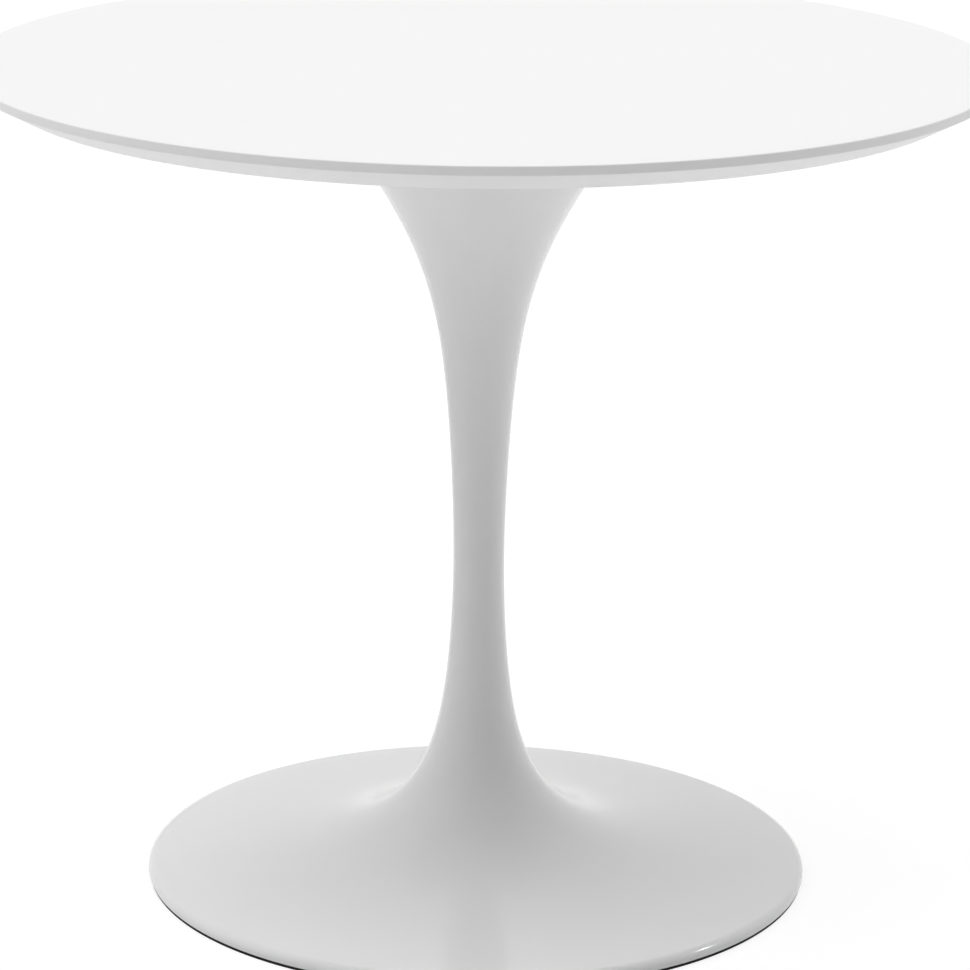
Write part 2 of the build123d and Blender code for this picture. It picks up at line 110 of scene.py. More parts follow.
def lathe_tree():
    """Turns a section drawn in the XZ plane about the Z axis."""
    tree, given = sized_tree("lathe", segments="Int", weld="Float")
    rail_radius = 1.0
    section = add_node(tree, "GeometryNodeMeshToCurve", {"Mesh": given["mesh"]})
    laid = add_node(
        tree,
        "GeometryNodeTransform",
        {"Geometry": section, "Translation": (-rail_radius, 0, 0), "Rotation": (math.pi / 2, 0, 0)},
    )
    rail = add_node(
        tree,
        "GeometryNodeCurvePrimitiveCircle",
        {"Resolution": given["segments"], "Radius": rail_radius},
    )
    swept = add_node(tree, "GeometryNodeCurveToMesh", {"Curve": rail, "Profile Curve": laid})
    welded = add_node(
        tree, "GeometryNodeMergeByDistance", {"Geometry": swept, "Distance": given["weld"]}
    )
    return closed_tree(tree, given, welded)


def ring_tree():
    """Sets copies of one piece evenly round the Z axis."""
    tree, given = sized_tree(
        "pieces_round_the_axis", count="Int", radius="Float", first_angle="Float"
    )
    at_axis = add_node(tree, "GeometryNodePoints", {"Count": given["count"]})
    outwards = add_node(tree, "ShaderNodeCombineXYZ", {"X": given["radius"]})
    one = add_node(
        tree, "GeometryNodeTransform", {"Geometry": given["mesh"], "Translation": outwards}
    )
    index = add_node(tree, "GeometryNodeInputIndex")
    pitch = reckoned(tree, "DIVIDE", math.tau, given["count"])
    angle = reckoned(tree, "MULTIPLY_ADD", index, pitch, given["first_angle"])
    turn = add_node(tree, "ShaderNodeCombineXYZ", {"Z": angle})
    copies = add_node(
        tree,
        "GeometryNodeInstanceOnPoints",
        {"Points": at_axis, "Instance": one, "Rotation": turn},
    )
    return closed_tree(tree, given, copies)


LATHE = lathe_tree()
RING = ring_tree()


def linked(name, mesh):
    """An object for a mesh, in the scene."""
    piece = bpy.data.objects.new(name, mesh)
    bpy.context.scene.collection.objects.link(piece)
    return piece


def finished_mesh(piece, crease=35):
    """Faces turned outwards and smooth, with edges sharper than the crease kept sharp."""
    mesh = piece.data
    work = bmesh.new()
    work.from_mesh(mesh)
    bmesh.ops.recalc_face_normals(work, faces=work.faces)
    work.to_mesh(mesh)
    work.free()
    mesh.shade_smooth()
    mesh.set_sharp_from_angle(angle=math.radians(crease))
    return piece


def applied(piece, modifier):
    """The plain mesh that a modifier makes of a piece, which keeps it instead."""
    bpy.context.view_layer.update()
    evaluated = piece.evaluated_get(bpy.context.evaluated_depsgraph_get())
    result = bpy.data.meshes.new_from_object(evaluated)
    piece.modifiers.remove(modifier)
    piece.data = result
    result.name = piece.name
    return result


def through_nodes(piece, tree, material, **sizes):
    """Runs a piece through a Geometry Nodes tree, and keeps the result as its plain mesh."""
    modifier = piece.modifiers.new(tree.name, "NODES")
    modifier.node_group = tree
    wanted = {"material": material, **sizes}
    for socket in tree.interface.items_tree:
        if socket.in_out == "INPUT" and socket.name in wanted:
            modifier[socket.identifier] = wanted[socket.name]
    result = applied(piece, modifier)
    result.materials.clear()
    result.materials.append(material)
    result.polygons.foreach_set("material_index", [0] * len(result.polygons))
    return piece


def cut_or_joined(piece, other, operation):
    """A piece with another cut from it or joined to it, the other then deleted."""
    modifier = piece.modifiers.new(operation.lower(), "BOOLEAN")
    modifier.operation = operation
    modifier.solver = "MANIFOLD"
    modifier.object = other
    applied(piece, modifier)
    bpy.data.objects.remove(other)
    return piece


def drawn_line(name, points, closed):
    """A line through some points, as a mesh of edges."""
    mesh = bpy.data.meshes.new(name)
    edges = [(n, n + 1) for n in range(len(points) - 1)]
    if closed:
        edges.append((len(points) - 1, 0))
    mesh.from_pydata(points, edges, [])
    return linked(name, mesh)


def turned(name, section, material, segments=256, closed=True, crease=35):
    """A turned piece from its section, a list of (radius, height)."""
    piece = drawn_line(name, [(radius, 0, height) for radius, height in section], closed)
    through_nodes(piece, LATHE, material, segments=segments, weld=WELD_DISTANCE)
    return finished_mesh(piece, crease)


def drill(name, bottom, steps, material, segments=32):
    """A tool that cuts a stepped hole, from each step's radius and top."""
    section = [(0, bottom)]
    for radius, top in steps:
        section += [(radius, bottom), (radius, top)]
        bottom = top
    section.append((0, bottom))
    return turned(name, section, material, segments=segments, closed=False)


def at_inserts(piece, material):
    """A piece repeated at each insert's place."""
    turn = math.pi / INSERT_COUNT
    return through_nodes(
        piece, RING, material, count=INSERT_COUNT, radius=INSERT_CIRCLE_RADIUS, first_angle=turn
    )


def arc(centre, radius, start, end, steps):
    """Points of a section on an arc, by angles in degrees."""
    points = []
    for n in range(steps + 1):
        angle = math.radians(start + (end - start) * n / steps)
        points.append((centre[0] + radius * math.cos(angle), centre[1] + radius * math.sin(angle)))
    return points


def object_coordinates(tree, scale=(1, 1, 1)):
    """Object coordinates, stretched by a scale."""
    place = add_node(tree, "ShaderNodeTexCoord")
    return add_node(
        tree, "ShaderNodeMapping", {"Vector": place.outputs["Object"], "Scale": scale}
    )


def new_material(name):
    """A material, its node tree, its Principled shader and its Object coordinates."""
    material = bpy.data.materials.new(name)
    material.use_nodes = True
    tree = material.node_tree
    return material, tree, tree.nodes["Principled BSDF"], object_coordinates(tree)


def noise(tree, place, scale, detail):
    """A noise pattern, from 0 to 1."""
    return add_node(
        tree, "ShaderNodeTexNoise", {"Vector": place, "Scale": scale, "Detail": detail}
    )


def dulled(tree, shader, pattern, smooth, rough):
    """Takes a shader's roughness from one value to another by a pattern."""
    moved = add_node(
        tree, "ShaderNodeMapRange", {"Value": pattern, "To Min": smooth, "To Max": rough}
    )
    tree.links.new(moved.outputs["Result"], shader.inputs["Roughness"])


def varied(tree, shader, pattern, colours, smooth, rough):
    """Takes a shader's colour and its roughness from one value to another by a pattern."""
    first, last = colours
    tint = add_node(
        tree,
        "ShaderNodeMix",
        {"Factor": pattern, "A": (*first, 1), "B": (*last, 1)},
        data_type="RGBA",
    )
    tree.links.new(tint.outputs["Result"], shader.inputs["Base Color"])
    dulled(tree, shader, pattern, smooth, rough)


def raised(tree, shader, pattern, strength, height):
    """Gives a shader relief by a pattern."""
    bump = add_node(
        tree, "ShaderNodeBump", {"Height": pattern, "Strength": strength, "Distance": height}
    )
    tree.links.new(bump.outputs["Normal"], shader.inputs["Normal"])


def board_lacquer():
    """White satin lacquer: a faint spray texture, and a sheen that drifts slowly."""
    material, tree, shader, place = new_material("white_satin_lacquer")
    drift = noise(tree, place, scale=5, detail=3)
    spray = noise(tree, place, scale=900, detail=2)
    varied(tree, shader, drift, LACQUER_WHITES, smooth=0.36, rough=0.44)
    raised(tree, shader, spray, strength=0.05, height=0.0001)
    shader.inputs["IOR"].default_value = LACQUER_IOR
    return material


def board_section():
    """Half of the board's section, from the axis below to the axis above."""
    foot = TOP_RADIUS - BEVEL_REACH
    band_bottom = top_high.z - EDGE_BAND
    bevel_angle = math.degrees(math.atan2(band_bottom - top_low.z, BEVEL_REACH))
    half_corner = math.radians((90 - bevel_angle) / 2)
    tangent = LOWER_ARRIS * math.tan(half_corner)
    lower_centre = (TOP_RADIUS - LOWER_ARRIS, band_bottom + tangent)
    upper_centre = (TOP_RADIUS - UPPER_ARRIS, top_high.z - UPPER_ARRIS)
    section = [(0, top_low.z), (foot - FLAT_MARGIN, top_low.z), (foot, top_low.z)]
    section += arc(lower_centre, LOWER_ARRIS, bevel_angle - 90, 0, steps=6)
    section += arc(upper_centre, UPPER_ARRIS, 0, 90, steps=8)
    return section + [(TOP_RADIUS - FLAT_MARGIN, top_high.z), (0, top_high.z)]


lacquer = board_lacquer()
board = turned(
    "board", board_section(), lacquer, segments=384, closed=False, crease=BOARD_CREASE
)
insert_hole = drill(
    "insert_hole",
    top_low.z - CUT_CLEAR,
    [
        (INSERT_FLANGE_RADIUS + FIT, top_low.z + INSERT_FLANGE),
        (INSERT_BODY_RADIUS + FIT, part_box("threaded_inserts")[1].z + BLIND_HOLE_SPARE),
    ],
    lacquer,
)
cut_or_joined(board, at_inserts(insert_hole, lacquer), "DIFFERENCE")
finished_mesh(board, BOARD_CREASE)
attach(board, "root")
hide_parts("table_top")

# The inserts: six brass bushes tapped M6, with a flange and a coarse thread
# outside, driven into the blind holes in the underside of the board.
insert_low, insert_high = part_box("threaded_inserts")
INSERT_PITCH = 0.0028
INSERT_TURNS = 3.0
INSERT_CORE_RADIUS = 0.0040
INSERT_BORE_RADIUS = 0.0031
INSERT_COUNTERSINK = 0.0004
INSERT_FLANGE_CHAMFER = 0.0002
INSERT_LEAD = 0.0006
INSERT_LEAD_TAPER = 0.0005
BRASS_COLOURS = (0.62, 0.45, 0.20), (0.80, 0.62, 0.33)
TURNED_MARKS = (1, 1, 12)
THREAD_STEPS = 20
THREAD_SIDES = 4


def thread_tree():
    """Winds the ridge of a screw thread round the Z axis and adds it to a piece."""
    tree, given = sized_tree(
        "screw_thread", radius="Float", pitch="Float", turns="Float", bottom="Float"
    )
    half_pitch = reckoned(tree, "MULTIPLY", given["pitch"], 0.5)
    middle = reckoned(tree, "SUBTRACT", given["radius"], half_pitch)
    spiral = add_node(
        tree,
        "GeometryNodeCurveSpiral",
        {
            "Resolution": THREAD_STEPS,
            "Rotations": given["turns"],
            "Start Radius": middle,
            "End Radius": middle,
            "Height": reckoned(tree, "MULTIPLY", given["pitch"], given["turns"]),
        },
    )
    lift = add_node(tree, "ShaderNodeCombineXYZ", {"Z": given["bottom"]})
    lifted = add_node(tree, "GeometryNodeTransform", {"Geometry": spiral, "Translation": lift})
    upright = add_node(tree, "GeometryNodeSetCurveNormal", {"Curve": lifted}, mode="Z_UP")
    ridge = add_node(
        tree,
        "GeometryNodeCurvePrimitiveCircle",
        {"Resolution": THREAD_SIDES, "Radius": half_pitch},
    )
    wound = add_node(
        tree,
        "GeometryNodeCurveToMesh",
        {"Curve": upright, "Profile Curve": ridge, "Fill Caps": True},
    )
    both = add_node(tree, "GeometryNodeJoinGeometry", {"Geometry": given["mesh"]})
    tree.links.new(wound.outputs["Mesh"], both.inputs["Geometry"])
    return closed_tree(tree, given, both)


THREAD = thread_tree()


def threaded(piece, material, radius, pitch, turns, bottom):
    """A piece with a screw thread added to it."""
    sizes = {"radius": radius, "pitch": pitch, "turns": turns, "bottom": bottom}
    return through_nodes(piece, THREAD, material, **sizes)


def brass():
    """Machined brass, a little darker where it has aged."""
    material, tree, shader, place = new_material("machined_brass")
    age = noise(tree, place, scale=220, detail=4)
    marks = noise(tree, object_coordinates(tree, TURNED_MARKS), scale=900, detail=2)
    varied(tree, shader, age, BRASS_COLOURS, smooth=0.22, rough=0.4)
    raised(tree, shader, marks, strength=0.2, height=0.0001)
    shader.inputs["Metallic"].default_value = 1
    return material


insert_brass = brass()
inserts = turned(
    "brass_inserts",
    [
        (INSERT_BORE_RADIUS + INSERT_COUNTERSINK, insert_low.z),
        (INSERT_FLANGE_RADIUS - INSERT_FLANGE_CHAMFER, insert_low.z),
        (INSERT_FLANGE_RADIUS, insert_low.z + INSERT_FLANGE_CHAMFER),
        (INSERT_FLANGE_RADIUS, insert_low.z + INSERT_FLANGE),
        (INSERT_CORE_RADIUS, insert_low.z + INSERT_FLANGE),
        (INSERT_CORE_RADIUS, insert_high.z - INSERT_LEAD),
        (INSERT_CORE_RADIUS - INSERT_LEAD_TAPER, insert_high.z),
        (INSERT_BORE_RADIUS, insert_high.z),
        (INSERT_BORE_RADIUS, insert_low.z + INSERT_COUNTERSINK),
    ],
    insert_brass,
    segments=32,
)
insert_thread_start = insert_low.z + INSERT_FLANGE + INSERT_PITCH / 2
threaded(
    inserts, insert_brass, INSERT_BODY_RADIUS, INSERT_PITCH, INSERT_TURNS, insert_thread_start
)
finished_mesh(at_inserts(inserts, insert_brass))
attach(inserts, "root")
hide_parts("threaded_inserts")

# The mounting plate: a round of 5 mm steel, laser cut and coated black, with a
# hole in the middle for the hub and six for the screws. It lies in the mouth of
# the casting and is screwed to the board.
plate_low, plate_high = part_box("mounting_plate")
PLATE_RADIUS = plate_high.x
PLATE_EDGE = 0.0005
SPIGOT_RADIUS = 0.011
SCREW_HOLE_RADIUS = 0.0033
COAT_BLACKS = (0.022, 0.022, 0.023), (0.042, 0.042, 0.043)


def rounded_band(inner, outer, bottom, top, corner):
    """The section of a flat ring with its four corners rounded."""
    corners = [
        (inner + corner, bottom + corner, 180),
        (outer - corner, bottom + corner, 270),
        (outer - corner, top - corner, 0),
        (inner + corner, top - corner, 90),
    ]
    section = []
    for across, up, start in corners:
        section += arc((across, up), corner, start, start + 90, steps=3)
    return section


def black_coat():
    """Black electrophoretic coat on steel: thin, satin, faintly pebbled."""
    material, tree, shader, place = new_material("black_coated_steel")
    pebble = noise(tree, place, scale=700, detail=3)
    cloud = noise(tree, place, scale=35, detail=4)
    varied(tree, shader, cloud, COAT_BLACKS, smooth=0.35, rough=0.5)
    raised(tree, shader, pebble, strength=0.25, height=0.0002)
    return material


coated_steel = black_coat()
plate = turned(
    "coated_plate",
    rounded_band(SPIGOT_RADIUS + FIT, PLATE_RADIUS, plate_low.z, plate_high.z, PLATE_EDGE),
    coated_steel,
    segments=192,
)
screw_hole = drill(
    "screw_hole",
    plate_low.z - CUT_CLEAR,
    [(SCREW_HOLE_RADIUS, plate_high.z + CUT_CLEAR)],
    coated_steel,
)
finished_mesh(cut_or_joined(plate, at_inserts(screw_hole, coated_steel), "DIFFERENCE"))
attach(plate, "root")
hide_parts("mounting_plate")

# The hub: a turned steel bush tapped M12, set through the middle of the plate,
# welded all round below it, and coated black with it.
hub_low, hub_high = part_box("plate_hub")
HUB_RADIUS = hub_high.x
HUB_CHAMFER = 0.001
HUB_BORE_RADIUS = 0.0061
BEAD_RADIUS = 0.0014
BEAD_RIPPLE = 0.0022
BEAD_SWELL = 0.12
BEAD_SIDES = 8
RIPPLE_STEPS = 3
HUB_WELD_STEPS = 72


def weld_tree():
    """Lays a rippled weld bead along the edges of a mesh."""
    tree, given = sized_tree("weld_bead", bead="Float", ripple="Float")
    run = add_node(tree, "GeometryNodeMeshToCurve", {"Mesh": given["mesh"]})
    step = reckoned(tree, "DIVIDE", given["ripple"], RIPPLE_STEPS)
    stops = add_node(
        tree, "GeometryNodeResampleCurve", {"Curve": run, "Length": step}, mode="LENGTH"
    )
    along = add_node(tree, "GeometryNodeSplineParameter").outputs["Length"]
    ripples = reckoned(tree, "DIVIDE", along, given["ripple"])
    wave = reckoned(tree, "SINE", reckoned(tree, "MULTIPLY", ripples, math.tau))
    swell = reckoned(tree, "MULTIPLY_ADD", wave, BEAD_SWELL, 1)
    round_bead = add_node(
        tree,
        "GeometryNodeCurvePrimitiveCircle",
        {"Resolution": BEAD_SIDES, "Radius": given["bead"]},
    )
    laid = add_node(
        tree,
        "GeometryNodeCurveToMesh",
        {"Curve": stops, "Profile Curve": round_bead, "Scale": swell, "Fill Caps": True},
    )
    return closed_tree(tree, given, laid)


WELD = weld_tree()


def weld_along(name, points, material, closed=False):
    """A weld bead along a run of points."""
    bead = drawn_line(name, points, closed)
    return through_nodes(bead, WELD, material, bead=BEAD_RADIUS, ripple=BEAD_RIPPLE)


def one_mesh(piece, *others):
    """Adds the meshes of other pieces to a piece, the others then deleted."""
    work = bmesh.new()
    work.from_mesh(piece.data)
    for other in others:
        work.from_mesh(other.data)
        bpy.data.objects.remove(other)
    work.to_mesh(piece.data)
    work.free()
    return finished_mesh(piece)


def circle_point(radius, angle, height):
    """A point at a radius, an angle and a height about the Z axis."""
    return radius * math.cos(angle), radius * math.sin(angle), height


hub = turned(
    "welded_hub",
    [
        (HUB_BORE_RADIUS, hub_low.z + HUB_CHAMFER),
        (HUB_BORE_RADIUS + HUB_CHAMFER, hub_low.z),
        (HUB_RADIUS - HUB_CHAMFER, hub_low.z),
        (HUB_RADIUS, hub_low.z + HUB_CHAMFER),
        (HUB_RADIUS, plate_low.z),
        (SPIGOT_RADIUS, plate_low.z),
        (SPIGOT_RADIUS, hub_high.z),
        (HUB_BORE_RADIUS, hub_high.z),
    ],
    coated_steel,
    segments=64,
)
hub_weld = weld_along(
    "hub_weld",
    [
        circle_point(HUB_RADIUS, math.tau * n / HUB_WELD_STEPS, plate_low.z)
        for n in range(HUB_WELD_STEPS)
    ],
    coated_steel,
    closed=True,
)
one_mesh(hub, hub_weld)
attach(hub, "root")
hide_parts("plate_hub")

# The gussets: six webs of 4 mm sheet steel that stiffen the hub, each welded
# along both sides to the plate and to the hub, and coated black with them.
gusset_low, gusset_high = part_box("hub_gussets")
GUSSET_COUNT = 6
GUSSET_NOSE = 0.005
GUSSET_HALF = 0.002
GUSSET_EDGE = 0.0003
GUSSET_SEAT = 0.0002
WELD_SHORT_OF_TIP = 0.002
WELD_SHORT_OF_FOOT = 0.003


def joined_rings(work, rings):
    """Faces between each ring of mesh points and the next."""
    for ring, further in zip(rings, rings[1:]):
        for n in range(len(ring)):
            m = (n + 1) % len(ring)
            work.faces.new((ring[n], ring[m], further[m], further[n]))


def piece_of(name, work, material):
    """A piece with the mesh that is worked on."""
    mesh = bpy.data.meshes.new(name)
    work.to_mesh(mesh)
    work.free()
    mesh.materials.append(material)
    return linked(name, mesh)


def cut_from_sheet(name, outline, turn, low, high, edge, material):
    """A flat piece with rounded edges: its outline, turned into place at two levels."""
    work = bmesh.new()
    sides = [[work.verts.new(turn(u, v, level)) for u, v in outline] for level in (low, high)]
    edges = [side_edge for side in sides for side_edge in work.faces.new(side).edges]
    joined_rings(work, sides)
    bmesh.ops.bevel(work, geom=edges, offset=edge, segments=2, affect="EDGES", profile=0.5)
    return finished_mesh(piece_of(name, work, material))


gussets = cut_from_sheet(
    "welded_gussets",
    [
        (HUB_RADIUS - GUSSET_SEAT, plate_low.z),
        (gusset_high.x, plate_low.z),
        (gusset_high.x, plate_low.z - GUSSET_NOSE),
        (HUB_RADIUS + GUSSET_NOSE, gusset_low.z),
        (HUB_RADIUS - GUSSET_SEAT, gusset_low.z),
    ],
    lambda u, v, level: (u, level, v),
    -GUSSET_HALF,
    GUSSET_HALF,
    GUSSET_EDGE,
    coated_steel,
)
gusset_welds = [
    weld_along(
        "gusset_weld",
        [
            (gusset_high.x - WELD_SHORT_OF_TIP, side, plate_low.z),
            (HUB_RADIUS, side, plate_low.z),
            (HUB_RADIUS, side, gusset_low.z + WELD_SHORT_OF_FOOT),
        ],
        coated_steel,
    )
    for side in (-GUSSET_HALF, GUSSET_HALF)
]
one_mesh(gussets, *gusset_welds)
through_nodes(gussets, RING, coated_steel, count=GUSSET_COUNT, radius=0.0, first_angle=0.0)
finished_mesh(gussets)
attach(gussets, "root")
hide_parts("hub_gussets")

# The screws: six M6 x 16 button-head screws with 4 mm hexagon sockets, steel,
# bright zinc plated, driven up through the plate into the inserts.
screw_low, screw_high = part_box("plate_screws")
SCREW_RADIUS = 0.003
SCREW_PITCH = 0.001
SCREW_TURNS = 14.0
SCREW_PLAIN_SHANK = 0.001
SCREW_HEAD_RADIUS = 0.0055
SCREW_HEAD_HEIGHT = 0.0034
SCREW_HEAD_EDGE = 0.0012
SCREW_HEAD_BREAK = 0.0001
SCREW_DOME = [(0.0030, 0), (0.0038, 0.0003), (0.0046, 0.0009), (0.0052, 0.0016)]
SCREW_SOCKET = 0.004
SCREW_SOCKET_DEPTH = 0.002
SOCKET_CONE = 0.0005
SOCKET_MOUTH = 0.0002
SOCKET_RIM = 0.0004
HEAD_FILLET = 0.0004
POINT_CHAMFER = 0.0006
SAME_PLACE = 1e-7
ZINC_COLOURS = (0.58, 0.61, 0.66), (0.68, 0.66, 0.61)


def lofted(name, rows, material, segments=96, closed=True):
    """A piece of joined rings, each (radius, height) or a function of the angle for them."""
    work = bmesh.new()
    rings = []
    for row in rows:
        ring = []
        for n in range(segments):
            angle = math.tau * n / segments
            radius, height = row(angle) if callable(row) else row
            ring.append(work.verts.new(circle_point(radius, angle, height)))
        rings.append(ring)
    joined_rings(work, rings + rings[:1] if closed else rings)
    bmesh.ops.remove_doubles(work, verts=work.verts, dist=SAME_PLACE)
    return finished_mesh(piece_of(name, work, material))


def hexagon_side(flats, angle):
    """How far out the side of a hexagon is at an angle, by its size across flats."""
    return flats / 2 / math.cos(angle % (math.pi / 3) - math.pi / 6)


def shank(core, bottom, top):
    """The rows of a shank, from the fillet under the head to the point."""
    return [
        (core + HEAD_FILLET, bottom),
        (core, bottom + HEAD_FILLET),
        (core, top - POINT_CHAMFER),
        (core - POINT_CHAMFER, top),
        (0, top),
    ]


def zinc_plate():
    """Bright zinc on steel: fine spangle, and a faint drift from cool to warm."""
    material, tree, shader, place = new_material("zinc_plate")
    drift = noise(tree, place, scale=60, detail=4)
    spangle = add_node(tree, "ShaderNodeTexVoronoi", {"Vector": place, "Scale": 1400})
    varied(tree, shader, drift, ZINC_COLOURS, smooth=0.25, rough=0.42)
    raised(tree, shader, spangle, strength=0.08, height=0.0001)
    shader.inputs["Metallic"].default_value = 1
    return material


zinc = zinc_plate()
screw_head_top = screw_low.z + SCREW_HEAD_HEIGHT
socket_floor = screw_low.z + SCREW_SOCKET_DEPTH
screws = lofted(
    "button_screws",
    [
        (0, socket_floor + SOCKET_CONE),
        lambda angle: (hexagon_side(SCREW_SOCKET, angle), socket_floor),
        lambda angle: (hexagon_side(SCREW_SOCKET, angle), screw_low.z + SOCKET_MOUTH),
        (SCREW_SOCKET / 2 + SOCKET_RIM, screw_low.z),
        *[(radius, screw_low.z + rise) for radius, rise in SCREW_DOME],
        (SCREW_HEAD_RADIUS, screw_head_top - SCREW_HEAD_EDGE),
        (SCREW_HEAD_RADIUS, screw_head_top - SCREW_HEAD_BREAK),
        (SCREW_HEAD_RADIUS - SCREW_HEAD_BREAK, screw_head_top),
        *shank(SCREW_RADIUS - SCREW_PITCH / 2, screw_head_top, screw_high.z),
    ],
    zinc,
    segments=48,
    closed=False,
)
screw_thread_start = screw_head_top + SCREW_PLAIN_SHANK
threaded(screws, zinc, SCREW_RADIUS, SCREW_PITCH, SCREW_TURNS, screw_thread_start)
finished_mesh(at_inserts(screws, zinc))
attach(screws, "root")
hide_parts("plate_screws")

# The screw washers: six plain washers stamped from sheet steel, zinc plated,
# between the screw heads and the plate.
screw_washer_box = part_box("plate_washers")
SCREW_WASHER_RADIUS = 0.007
STAMPED_EDGE = 0.0002


def stamped_washer(name, box, hole, outer):
    """A plain washer stamped from sheet, on the axis at the height of a box."""
    low, high = box
    section = rounded_band(hole, outer, low.z, high.z, STAMPED_EDGE)
    return turned(name, section, zinc, segments=48)


screw_washers = stamped_washer(
    "screw_washers", screw_washer_box, SCREW_HOLE_RADIUS, SCREW_WASHER_RADIUS
)
finished_mesh(at_inserts(screw_washers, zinc))
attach(screw_washers, "root")
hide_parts("plate_washers")

# The pedestal: one hollow aluminium casting. Mouth, waisted stem and foot are
# a single skin 5 mm thick, powder coated gloss white outside and in, with a
# ledge in the mouth, and a boss and six ribs cast in under the foot.
casting_low, casting_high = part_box("pedestal")
weight_low, weight_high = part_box("ballast_weights")
bolt_low, bolt_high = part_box("ballast_bolts")
MOUTH_RADIUS = 0.146
MOUTH_LAND = 0.0015
MOUTH_CHAMFER = 0.0005
LAND_BOTTOM = casting_high.z - MOUTH_LAND
WAIST = (0.023, 0.297)
FLARE_HANDLES = [
    WAIST,
    (0.023, 0.400),
    (0.037, LAND_BOTTOM - 0.172),
    (0.034, LAND_BOTTOM - 0.161),
    (MOUTH_RADIUS, LAND_BOTTOM),
]
SWEEP_HANDLES = [WAIST, (0.023, 0.173), (0.0405, 0.090), (0.039, 0.030)]
CURVE_STEPS = 72
RIM_RADIUS = 0.3
RIM_THICKNESS = 0.010
RIM_TOP = casting_low.z + RIM_THICKNESS
RIM_ROUND = 0.007
RIM_LOWER_ROUND = 0.0015
RIM_WIDTH = 0.018
FOOT_SLOPE = math.radians(3)
FOOT_REACH = 0.115
CASTING_WALL = 0.005
CASTING_CREASE = 40
LEDGE_THICKNESS = 0.004
LEDGE_WIDTH = 0.012
LIP_WIDTH = 0.010
GROOVE_WIDTH = 0.0053
GROOVE_DEPTH = 0.00365
RING_INSET = 0.0025
RING_WIDTH = 0.011
TONGUE_RADIUS = RIM_RADIUS - RING_INSET - RING_WIDTH / 2
WRENCH_RADIUS = 0.034
WRENCH_FLARE = 0.024
RIB_COUNT = 6
RIB_THICKNESS = 0.006
RIB_TOP = 0.064
RIB_FLOOR_GAP = 0.006
RIB_END_IN_RIM = 0.0015
RIB_RADII = [
    *(0.012, 0.020, 0.028, WRENCH_RADIUS, 0.046, WRENCH_RADIUS + WRENCH_FLARE),
    *(0.062 + 0.005 * n for n in range(44)),
    RIM_RADIUS - RIM_WIDTH + RIB_END_IN_RIM,
]
BOSS_BOTTOM = 0.027
BOSS_TOP = 0.070
BOSS_RADIUS = 0.020
ROD_HOLE_RADIUS = 0.0065
BOLT_CIRCLE_RADIUS = 0.125
BOLT_BOSS_RADIUS = 0.009
BOLT_HOLE_RADIUS = 0.0041
BOLT_HOLE_CONE = 0.0015
BOLT_HOLE_CHAMFER = 0.0005
CAST_FILLET = 0.003
CAST_ROUND = 0.001
NO_FILLET = 0.00001
ARC_SHARE = 0.3
COAT_WHITES = (0.87, 0.87, 0.87), (0.885, 0.885, 0.885)
COAT_IOR = 1.45


def bezier(handles):
    """Points on the curve that a list of handles pulls."""
    degree = len(handles) - 1
    points = []
    for n in range(CURVE_STEPS + 1):
        t = n / CURVE_STEPS
        pulls = [math.comb(degree, k) * t**k * (1 - t) ** (degree - k) for k in range(degree + 1)]
        points.append(tuple(sum(w * h[axis] for w, h in zip(pulls, handles)) for axis in (0, 1)))
    return points


def skin_outline():
    """The outside of the casting, from the land at the mouth down to the start of the rim."""
    rim_start = (
        RIM_RADIUS - RIM_ROUND + RIM_ROUND * math.sin(FOOT_SLOPE),
        RIM_TOP - RIM_ROUND * (1 - math.cos(FOOT_SLOPE)),
    )
    foot_handle = (
        rim_start[0] - FOOT_REACH * math.cos(FOOT_SLOPE),
        rim_start[1] + FOOT_REACH * math.sin(FOOT_SLOPE),
    )
    return bezier(FLARE_HANDLES)[::-1] + bezier([*SWEEP_HANDLES, foot_handle, rim_start])[1:]


def moved_inside(outline, depth):
    """The outline moved into the wall by a depth."""
    inside = []
    for n, (radius, height) in enumerate(outline):
        before = outline[max(n - 1, 0)]
        after = outline[min(n + 1, len(outline) - 1)]
        along = Vector((after[0] - before[0], after[1] - before[1])).normalized()
        inside.append((radius + depth * along.y, height - depth * along.x))
    return inside


def casting_section():
    """The closed section of the skin: down the outside, round the rim and up the inside."""
    outside = skin_outline()
    groove_out = TONGUE_RADIUS + GROOVE_WIDTH / 2
    groove_in = TONGUE_RADIUS - GROOVE_WIDTH / 2
    groove_top = casting_low.z + GROOVE_DEPTH
    rim_inner = RIM_RADIUS - RIM_WIDTH
    lip = MOUTH_RADIUS - LIP_WIDTH
    ledge_bottom = plate_low.z - LEDGE_THICKNESS
    upper_centre = (RIM_RADIUS - RIM_ROUND, RIM_TOP - RIM_ROUND)
    lower_centre = (RIM_RADIUS - RIM_LOWER_ROUND, casting_low.z + RIM_LOWER_ROUND)
    inside = [
        (radius, height)
        for radius, height in reversed(moved_inside(outside, CASTING_WALL))
        if radius < rim_inner and height < ledge_bottom
    ]
    return [
        (MOUTH_RADIUS - MOUTH_CHAMFER, casting_high.z),
        (MOUTH_RADIUS, casting_high.z - MOUTH_CHAMFER),
        *outside,
        *arc(upper_centre, RIM_ROUND, 90 - math.degrees(FOOT_SLOPE), 0, steps=14)[1:],
        *arc(lower_centre, RIM_LOWER_ROUND, 0, -90, steps=8),
        (groove_out, casting_low.z),
        (groove_out, groove_top),
        (groove_in, groove_top),
        (groove_in, casting_low.z),
        (rim_inner, casting_low.z),
        (rim_inner, inside[0][1]),
        *inside,
        (inside[-1][0], ledge_bottom),
        (lip - LEDGE_WIDTH, ledge_bottom),
        (lip - LEDGE_WIDTH, plate_low.z),
        (lip, plate_low.z),
        (lip, casting_high.z),
    ]


